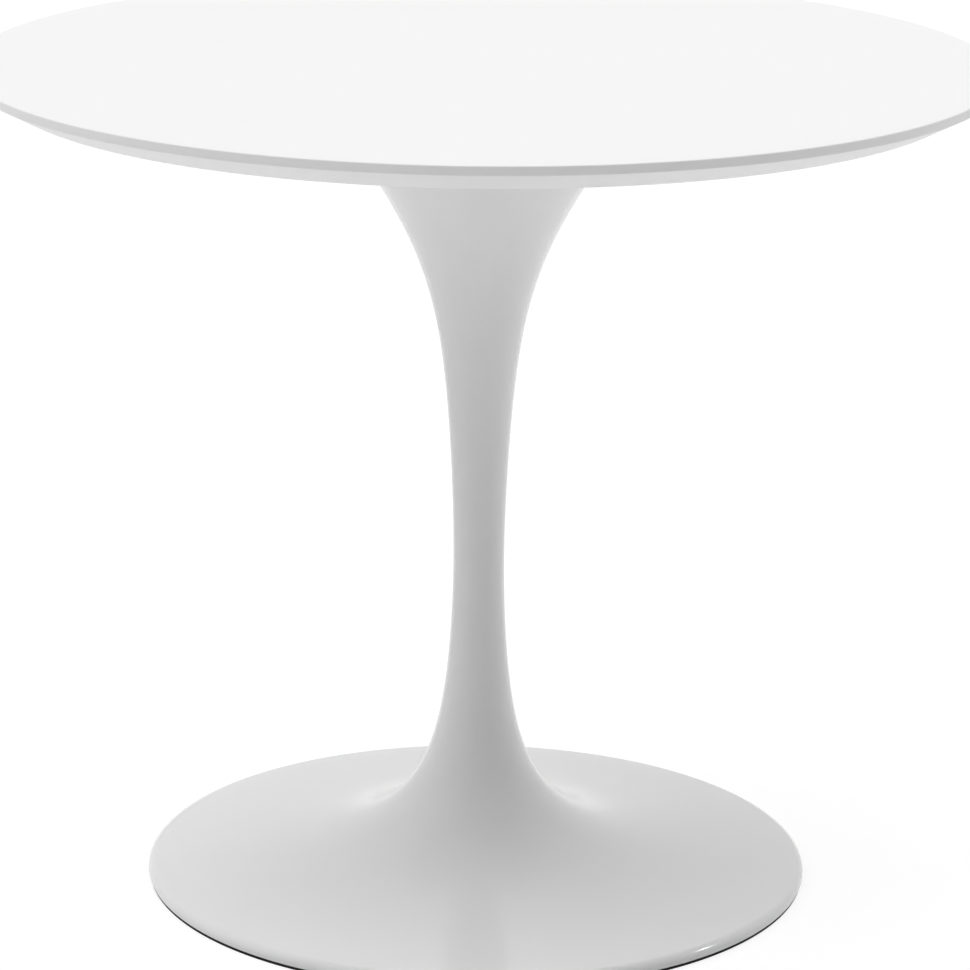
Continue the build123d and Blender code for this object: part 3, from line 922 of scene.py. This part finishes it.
def powder_coat():
    """Gloss white powder coat: a clear skin over the colour, and slight orange peel."""
    material, tree, shader, place = new_material("gloss_white_powder_coat")
    peel = noise(tree, place, scale=260, detail=2)
    drift = noise(tree, place, scale=9, detail=3)
    varied(tree, shader, drift, COAT_WHITES, smooth=0.1, rough=0.14)
    raised(tree, shader, peel, strength=0.06, height=0.0004)
    shader.inputs["IOR"].default_value = COAT_IOR
    return material


def height_in_foot(radius, depth):
    """How high the foot's wall is at a radius, this deep below its outside."""
    points = [p for p in moved_inside(skin_outline(), depth) if p[1] < WAIST[1] / 2]
    for (near, high), (far, low) in zip(points, points[1:]):
        if near <= radius <= far:
            return high + (low - high) * (radius - near) / (far - near)
    return points[0][1] if radius < points[0][0] else points[-1][1]


def rib_section(radius):
    """The rib's section at a radius: rounded below, and filleted into the wall above."""
    share = min(max((radius - WRENCH_RADIUS) / WRENCH_FLARE, 0), 1)
    low = BOSS_BOTTOM + (RIB_FLOOR_GAP - BOSS_BOTTOM) * share
    under_skin = height_in_foot(radius, CASTING_WALL)
    free = under_skin >= RIB_TOP
    high = RIB_TOP if free else under_skin
    fillet = NO_FILLET if free else min(CAST_FILLET, (high - low) / 2)
    in_wall = RIB_TOP if free else height_in_foot(radius, CASTING_WALL / 2)
    half = RIB_THICKNESS / 2
    nick = ARC_SHARE * CAST_ROUND
    side = [
        (half - CAST_ROUND, low),
        (half - nick, low + nick),
        (half, low + CAST_ROUND),
        *arc((half + fillet, high - fillet), fillet, 180, 90, steps=4),
        (half + fillet, in_wall),
    ]
    return [(-y, z) for y, z in reversed(side)] + side


def capped_run(work, rings):
    """Faces between rings in a row, and one across each end."""
    joined_rings(work, rings)
    work.faces.new(rings[0])
    work.faces.new(rings[-1])


def cast_rib(material):
    """One rib, from inside the boss out into the rim."""
    work = bmesh.new()
    sections = [(radius, rib_section(radius)) for radius in RIB_RADII]
    capped_run(
        work, [[work.verts.new((radius, y, z)) for y, z in side] for radius, side in sections]
    )
    bmesh.ops.remove_doubles(work, verts=work.verts, dist=SAME_PLACE)
    return piece_of("cast_ribs", work, material)


def bolt_boss_ring(reach, depth, below=0.0):
    """A ring round a bolt boss that follows the wall above it."""

    def ring(angle):
        across = reach * math.sin(angle)
        outwards = BOLT_CIRCLE_RADIUS + reach * math.cos(angle)
        return reach, height_in_foot(math.hypot(outwards, across), depth) - below

    return ring


def cast_bolt_boss(material):
    """One boss for a ballast bolt, with its blind tapped hole."""
    bottom = weight_high.z
    hole_top = bolt_high.z + BLIND_HOLE_SPARE
    nick = ARC_SHARE * CAST_FILLET
    rows = [
        (0, hole_top + BOLT_HOLE_CONE),
        (BOLT_HOLE_RADIUS, hole_top),
        (BOLT_HOLE_RADIUS, bottom + BOLT_HOLE_CHAMFER),
        (BOLT_HOLE_RADIUS + BOLT_HOLE_CHAMFER, bottom),
        (BOLT_BOSS_RADIUS - CAST_ROUND, bottom),
        (BOLT_BOSS_RADIUS, bottom + CAST_ROUND),
        *[
            bolt_boss_ring(BOLT_BOSS_RADIUS + reach, CASTING_WALL, below)
            for reach, below in ((0.0, CAST_FILLET), (nick, nick), (CAST_FILLET, 0.0))
        ],
        bolt_boss_ring(BOLT_BOSS_RADIUS + CAST_FILLET, CASTING_WALL / 2),
        bolt_boss_ring(0.0, CASTING_WALL / 2),
    ]
    return lofted("cast_bolt_bosses", rows, material, segments=36, closed=False)


def in_bays(piece, radius, material):
    """A piece repeated in the middle of each bay between the ribs."""
    return through_nodes(
        piece, RING, material, count=RIB_COUNT, radius=radius, first_angle=math.pi / RIB_COUNT
    )


coat = powder_coat()
casting = turned("pedestal_casting", casting_section(), coat, crease=CASTING_CREASE)
ribs = cast_rib(coat)
through_nodes(ribs, RING, coat, count=RIB_COUNT, radius=0.0, first_angle=0.0)
bolt_bosses = in_bays(cast_bolt_boss(coat), BOLT_CIRCLE_RADIUS, coat)
boss = turned(
    "cast_boss",
    rounded_band(ROD_HOLE_RADIUS, BOSS_RADIUS, BOSS_BOTTOM, BOSS_TOP, CAST_ROUND),
    coat,
    segments=64,
)
one_mesh(casting, ribs, bolt_bosses, boss)
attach(casting, "root")
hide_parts("pedestal")

# The foot ring: black rubber, extruded and joined into a ring, with its tongue
# pressed into the groove under the rim. Only this ring meets the floor, and the
# table's weight makes its outer side bulge a little.
ring_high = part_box("foot_ring")[1]
RING_OUTER = ring_high.x
RING_INNER = RING_OUTER - RING_WIDTH
RING_HEIGHT = casting_low.z
RING_BULGE = 0.0015
BULGE_STEPS = 8
TONGUE_HALF = 0.0025
RUBBER_BLACKS = (0.008, 0.008, 0.008), (0.02, 0.02, 0.019)
RUBBER_SPECULAR = 0.2


def black_rubber():
    """Soft black rubber with a fine grain and a little dust."""
    material, tree, shader, place = new_material("black_rubber")
    grain = noise(tree, place, scale=1500, detail=3)
    dust = noise(tree, place, scale=40, detail=5)
    varied(tree, shader, dust, RUBBER_BLACKS, smooth=0.7, rough=0.9)
    raised(tree, shader, grain, strength=0.3, height=0.0002)
    shader.inputs["Specular IOR Level"].default_value = RUBBER_SPECULAR
    return material


bulge_turns = [math.pi * n / BULGE_STEPS for n in range(BULGE_STEPS + 1)]
squeezed_side = [
    (RING_OUTER + RING_BULGE * math.sin(turn), RING_HEIGHT * (1 - math.cos(turn)) / 2)
    for turn in bulge_turns
]
foot_ring = turned(
    "rubber_foot_ring",
    [
        (RING_INNER, 0),
        *squeezed_side,
        (TONGUE_RADIUS + TONGUE_HALF, RING_HEIGHT),
        (TONGUE_RADIUS + TONGUE_HALF, ring_high.z),
        (TONGUE_RADIUS - TONGUE_HALF, ring_high.z),
        (TONGUE_RADIUS - TONGUE_HALF, RING_HEIGHT),
        (RING_INNER, RING_HEIGHT),
    ],
    black_rubber(),
)
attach(foot_ring, "root")
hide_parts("foot_ring")

# The tie rod: an M12 steel rod, zinc plated, with a rolled thread at each end.
# It screws into the hub, runs down the hollow stem and ends below the foot.
rod_low, rod_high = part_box("tie_rod")
ROD_RADIUS = rod_high.x
ROD_PITCH = 0.00175
ROD_CHAMFER = 0.0008
ROD_THREAD_MARGIN = 0.0015
ROD_THREAD_RUNOUT = 0.0015
UPPER_THREAD_TURNS = 28.0
LOWER_THREAD_TURNS = 24.0

rod_core = ROD_RADIUS - ROD_PITCH / 2
lower_thread_start = rod_low.z + ROD_THREAD_MARGIN
lower_thread_end = lower_thread_start + LOWER_THREAD_TURNS * ROD_PITCH
upper_thread_end = rod_high.z - ROD_THREAD_MARGIN - UPPER_THREAD_TURNS * ROD_PITCH
tie_rod = turned(
    "threaded_tie_rod",
    [
        (0, rod_low.z),
        (rod_core - ROD_CHAMFER, rod_low.z),
        (rod_core, rod_low.z + ROD_CHAMFER),
        (rod_core, lower_thread_end),
        (ROD_RADIUS, lower_thread_end + ROD_THREAD_RUNOUT),
        (ROD_RADIUS, upper_thread_end - ROD_THREAD_RUNOUT),
        (rod_core, upper_thread_end),
        (rod_core, rod_high.z - ROD_CHAMFER),
        (rod_core - ROD_CHAMFER, rod_high.z),
        (0, rod_high.z),
    ],
    zinc,
    segments=48,
    closed=False,
)
for turns, bottom in (
    (LOWER_THREAD_TURNS, lower_thread_start),
    (UPPER_THREAD_TURNS, upper_thread_end),
):
    threaded(tie_rod, zinc, ROD_RADIUS, ROD_PITCH, turns, bottom)
finished_mesh(tie_rod)
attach(tie_rod, "root")
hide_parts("tie_rod")

# The nuts: two hexagon nuts of 19 mm across flats, zinc plated. The thin one
# locks the rod under the hub, and the full one below the foot pulls the table
# together.
NUT_FLATS = 0.019
NUT_BORE_RADIUS = 0.0061
NUT_COUNTERSINK = 0.0007
HEX_FACE_SHARE = 0.95
HEX_SLOPE = math.tan(math.radians(30))


def hexagon_rows(flats, bottom, top):
    """The outside of a hexagon with its corners turned off at both ends."""
    face = HEX_FACE_SHARE * flats / 2

    def side(angle, end, inwards):
        reach = hexagon_side(flats, angle)
        return reach, end + inwards * (reach - face) * HEX_SLOPE

    return [
        (face, bottom),
        lambda angle: side(angle, bottom, 1),
        lambda angle: side(angle, top, -1),
        (face, top),
    ]


def hexagon_nut(name, node):
    """A nut in the place of a node, bored and countersunk at both ends."""
    low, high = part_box(node)
    rows = [
        (NUT_BORE_RADIUS, high.z - NUT_COUNTERSINK),
        (NUT_BORE_RADIUS, low.z + NUT_COUNTERSINK),
        (NUT_BORE_RADIUS + NUT_COUNTERSINK, low.z),
        *hexagon_rows(NUT_FLATS, low.z, high.z),
        (NUT_BORE_RADIUS + NUT_COUNTERSINK, high.z),
    ]
    nut = lofted(name, rows, zinc)
    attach(nut, "root")
    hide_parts(node)


hexagon_nut("thin_lock_nut", "hub_lock_nut")
hexagon_nut("lower_clamp_nut", "clamp_nut")

# The clamp washer: a thick turned washer, zinc plated, that spreads the pull of
# the rod over the boss under the foot.
clamp_low, clamp_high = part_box("clamp_washer")
CLAMP_WASHER_EDGE = 0.0006

clamp_washer = turned(
    "thick_washer",
    rounded_band(ROD_HOLE_RADIUS, clamp_high.x, clamp_low.z, clamp_high.z, CLAMP_WASHER_EDGE),
    zinc,
    segments=96,
)
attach(clamp_washer, "root")
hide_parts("clamp_washer")

# The spring washer: square spring wire wound into one turn and cut at a slant,
# zinc plated, between the thick washer and the nut.
spring_low, spring_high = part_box("spring_washer")
SPRING_RADIUS = 0.0105
SPRING_GAP = 0.0018
SPRING_CUT = math.tan(math.radians(25))
SPRING_EDGE = 0.0003
SPRING_STATIONS = 72


def split_ring_point(radius, height, share):
    """A point this share of the way from one side of the slanting cut round to the other."""
    slant = ((spring_low.z + spring_high.z) / 2 - height) * SPRING_CUT
    start = math.asin((slant + SPRING_GAP / 2) / radius)
    end = math.tau + math.asin((slant - SPRING_GAP / 2) / radius)
    return circle_point(radius, start + (end - start) * share, height)


wire = rounded_band(ROD_HOLE_RADIUS, SPRING_RADIUS, spring_low.z, spring_high.z, SPRING_EDGE)
spring_mesh = bmesh.new()
stations = [
    [spring_mesh.verts.new(split_ring_point(*point, n / SPRING_STATIONS)) for point in wire]
    for n in range(SPRING_STATIONS + 1)
]
capped_run(spring_mesh, stations)
spring_washer = finished_mesh(piece_of("split_washer", spring_mesh, zinc))
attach(spring_washer, "root")
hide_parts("spring_washer")

# The ballast: six sectors of sand-cast grey iron that fill the bays between the
# ribs, bored for the bolts that hold them up against the bosses.
WEIGHT_INNER_RADIUS = 0.075
WEIGHT_OUTER_RADIUS = weight_high.y
WEIGHT_GAP = 0.0015
WEIGHT_SIDE = RIB_THICKNESS / 2 + WEIGHT_GAP
WEIGHT_CORNER = 0.005
WEIGHT_EDGE = 0.0008
WEIGHT_ARC_STEPS = 16
WEIGHT_BORE_RADIUS = 0.010
WEIGHT_BORE_DEPTH = 0.004
WEIGHT_HOLE_RADIUS = 0.0045
IRON_COLOURS = ((0.35, (0.06, 0.06, 0.062, 1)), (0.75, (0.11, 0.107, 0.103, 1)))


def sector_outline():
    """The outline of one sector as (radius, angle), with its corners taken off."""

    def side_angle(radius):
        return math.pi / RIB_COUNT - math.asin(WEIGHT_SIDE / radius)

    def curved(radius):
        end = side_angle(radius) - WEIGHT_CORNER / radius
        steps = range(WEIGHT_ARC_STEPS + 1)
        return [(radius, end * (1 - 2 * n / WEIGHT_ARC_STEPS)) for n in steps]

    corners = (WEIGHT_INNER_RADIUS + WEIGHT_CORNER, WEIGHT_OUTER_RADIUS - WEIGHT_CORNER)
    upper_side = [(radius, side_angle(radius)) for radius in corners]
    lower_side = [(radius, -angle) for radius, angle in reversed(upper_side)]
    return [
        *upper_side,
        *curved(WEIGHT_OUTER_RADIUS),
        *lower_side,
        *reversed(curved(WEIGHT_INNER_RADIUS)),
    ]


def rough_iron():
    """Grey iron as it comes from sand, with a thin dark paint rubbed off its high spots."""
    material, tree, shader, place = new_material("sand_cast_iron")
    sand = noise(tree, place, scale=650, detail=5)
    swell = noise(tree, place, scale=140, detail=5)
    rubbed = add_node(tree, "ShaderNodeValToRGB", {"Fac": swell})
    for stop, (position, colour) in zip(rubbed.color_ramp.elements, IRON_COLOURS):
        stop.position, stop.color = position, colour
    tree.links.new(rubbed.outputs["Color"], shader.inputs["Base Color"])
    dulled(tree, shader, sand, smooth=0.65, rough=0.95)
    heights = reckoned(tree, "MULTIPLY_ADD", swell, 2, sand)
    raised(tree, shader, heights, strength=0.5, height=0.0006)
    return material


iron = rough_iron()
weights = cut_from_sheet(
    "iron_weights",
    sector_outline(),
    circle_point,
    weight_low.z,
    weight_high.z,
    WEIGHT_EDGE,
    iron,
)
bore = drill(
    "bolt_bore",
    weight_low.z - CUT_CLEAR,
    [
        (WEIGHT_BORE_RADIUS, weight_low.z + WEIGHT_BORE_DEPTH),
        (WEIGHT_HOLE_RADIUS, weight_high.z + CUT_CLEAR),
    ],
    iron,
    segments=48,
)
through_nodes(bore, RING, iron, count=1, radius=BOLT_CIRCLE_RADIUS, first_angle=0.0)
cut_or_joined(weights, bore, "DIFFERENCE")
finished_mesh(in_bays(weights, 0.0, iron))
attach(weights, "root")
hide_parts("ballast_weights")

# The ballast bolts: six M8 x 16 hexagon bolts with dished heads, zinc plated,
# each on a plain washer in the bore of its weight.
bolt_washer_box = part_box("ballast_washers")
BOLT_HEAD_TOP = bolt_washer_box[0].z
BOLT_FLATS = 0.013
BOLT_RADIUS = 0.004
BOLT_PITCH = 0.00125
BOLT_TURNS = 11.0
BOLT_PLAIN_SHANK = 0.0012
BOLT_DISH_RADIUS = 0.0045
BOLT_DISH = 0.0004
BOLT_WASHER_RADIUS = 0.008

bolts = lofted(
    "hexagon_bolts",
    [
        (0, bolt_low.z + BOLT_DISH),
        (BOLT_DISH_RADIUS, bolt_low.z + BOLT_DISH),
        (BOLT_DISH_RADIUS + 2 * BOLT_DISH, bolt_low.z),
        *hexagon_rows(BOLT_FLATS, bolt_low.z, BOLT_HEAD_TOP)[:2],
        lambda angle: (hexagon_side(BOLT_FLATS, angle), BOLT_HEAD_TOP),
        *shank(BOLT_RADIUS - BOLT_PITCH / 2, BOLT_HEAD_TOP, bolt_high.z),
    ],
    zinc,
    segments=72,
    closed=False,
)
threaded(bolts, zinc, BOLT_RADIUS, BOLT_PITCH, BOLT_TURNS, BOLT_HEAD_TOP + BOLT_PLAIN_SHANK)
bolt_washers = stamped_washer(
    "bolt_washers", bolt_washer_box, WEIGHT_HOLE_RADIUS, BOLT_WASHER_RADIUS
)
for piece, node in ((bolts, "ballast_bolts"), (bolt_washers, "ballast_washers")):
    finished_mesh(in_bays(piece, BOLT_CIRCLE_RADIUS, zinc))
    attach(piece, "root")
    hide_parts(node)

# The studio: a white floor, soft white panels overhead, to the left and at the
# back right, and one small lamp that puts a glint on the rim. The gloss
# reflects plain white all round, as the table stands against white.
FLOOR_SIZE = 60
FLOOR_SHADE = (0.28, 0.28, 0.28, 1)
FLOOR_BOUNCE = (0.8, 0.8, 0.8, 1)
FLOOR_GLOW = 0.8
WHITE = (1, 1, 1, 1)
SOFT_PANELS = [
    ((0, 0, 1), 6, 1.75),
    ((0, 0, 1), 14, 0.75),
    ((-0.7, 0, 1), 8, 2.05),
    ((1, 0, 1), 4, 0.25),
    ((1, 0.6, 0.1), 8, 1.95),
    ((-1, -0.3, 0.2), 8, 0.3),
]
GLINT_FROM = (0.1997, -0.2218, 0.0103)
GLINT_AZIMUTH = 93.5
GLINT_ELEVATION = 32.8
GLINT_DISTANCE = 2.5
GLINT_POWER = 48
GLINT_CONE = 8
GLINT_SIZE = 0.1
CAMERA_PLACE = (0, -3.702, 1.428)
CAMERA_DOWN = 16.027
CAMERA_YAW = 0.076
CAMERA_ROLL = 0.58
SENSOR = 36
FOCAL_TO_WIDTH = 4292 / 970
CAMERA_REACH = 100


def shown_or_lighting(tree, lighting, shown):
    """One shader for the rays that show the white itself, another for those that light."""
    rays = add_node(tree, "ShaderNodeLightPath").outputs
    showing = reckoned(tree, "MAXIMUM", rays["Is Camera Ray"], rays["Is Glossy Ray"])
    showing = reckoned(tree, "MAXIMUM", showing, rays["Is Transmission Ray"])
    return add_node(tree, "ShaderNodeMixShader", {0: showing, 1: lighting, 2: shown})


def white_floor():
    """White where it is seen, still holding the table's shadow, and plain white to the light."""
    material = bpy.data.materials.new("studio_floor")
    material.use_nodes = True
    tree = material.node_tree
    tree.nodes.clear()
    matt = add_node(tree, "ShaderNodeBsdfDiffuse", {"Color": FLOOR_SHADE})
    glow = add_node(tree, "ShaderNodeEmission", {"Color": WHITE, "Strength": FLOOR_GLOW})
    shown = add_node(tree, "ShaderNodeAddShader", {0: matt, 1: glow})
    bounce = add_node(tree, "ShaderNodeBsdfDiffuse", {"Color": FLOOR_BOUNCE})
    surface = shown_or_lighting(tree, bounce, shown)
    add_node(tree, "ShaderNodeOutputMaterial", {"Surface": surface})
    return material


def white_surround():
    """A white world: soft panels light the table, and its gloss reflects white."""
    world = bpy.data.worlds.new("studio_surround")
    world.use_nodes = True
    tree = world.node_tree
    tree.nodes.clear()
    around = add_node(tree, "ShaderNodeTexCoord").outputs["Generated"]
    level = 0.0
    for axis, tightness, strength in SOFT_PANELS:
        towards = add_node(
            tree,
            "ShaderNodeVectorMath",
            {0: around, 1: Vector(axis).normalized()},
            operation="DOT_PRODUCT",
        )
        ahead = reckoned(tree, "MAXIMUM", towards.outputs["Value"], 0)
        spread = reckoned(tree, "POWER", ahead, tightness)
        level = reckoned(tree, "MULTIPLY_ADD", spread, strength, level)
    light = add_node(tree, "ShaderNodeBackground", {"Color": WHITE, "Strength": level})
    backdrop = add_node(tree, "ShaderNodeBackground", {"Color": WHITE, "Strength": 1})
    surface = shown_or_lighting(tree, light, backdrop)
    add_node(tree, "ShaderNodeOutputWorld", {"Surface": surface})
    return world


bpy.context.scene.world = white_surround()
half = FLOOR_SIZE / 2
floor_mesh = bpy.data.meshes.new("floor")
floor_mesh.from_pydata(
    [(-half, -half, 0), (half, -half, 0), (half, half, 0), (-half, half, 0)], [], [(0, 1, 2, 3)]
)
floor_mesh.materials.append(white_floor())
floor = linked("floor", floor_mesh)

glint = bpy.data.lights.new("rim_glint", "SPOT")
glint.energy = GLINT_POWER
glint.spot_size = math.radians(GLINT_CONE)
glint.spot_blend = 1
glint.shadow_soft_size = GLINT_SIZE
lamp = linked("rim_glint", glint)
lamp.visible_diffuse = False
across, up = math.radians(GLINT_AZIMUTH), math.radians(GLINT_ELEVATION)
direction = Vector(
    (math.sin(across) * math.cos(up), -math.cos(across) * math.cos(up), math.sin(up))
)
lamp.location = Vector(GLINT_FROM) + direction * GLINT_DISTANCE
lamp.rotation_euler = direction.to_track_quat("Z", "Y").to_euler()

camera_data = bpy.data.cameras.new("camera")
camera_data.sensor_width = SENSOR
camera_data.lens = FOCAL_TO_WIDTH * SENSOR
camera_data.clip_end = CAMERA_REACH
camera = linked("camera", camera_data)
camera.location = CAMERA_PLACE
camera.rotation_euler = (
    Matrix.Rotation(-math.radians(CAMERA_YAW), 3, "Z")
    @ Matrix.Rotation(math.radians(90 - CAMERA_DOWN), 3, "X")
    @ Matrix.Rotation(math.radians(CAMERA_ROLL), 3, "Z")
).to_euler()
bpy.context.scene.camera = camera
bpy.context.scene.view_settings.view_transform = "Standard"
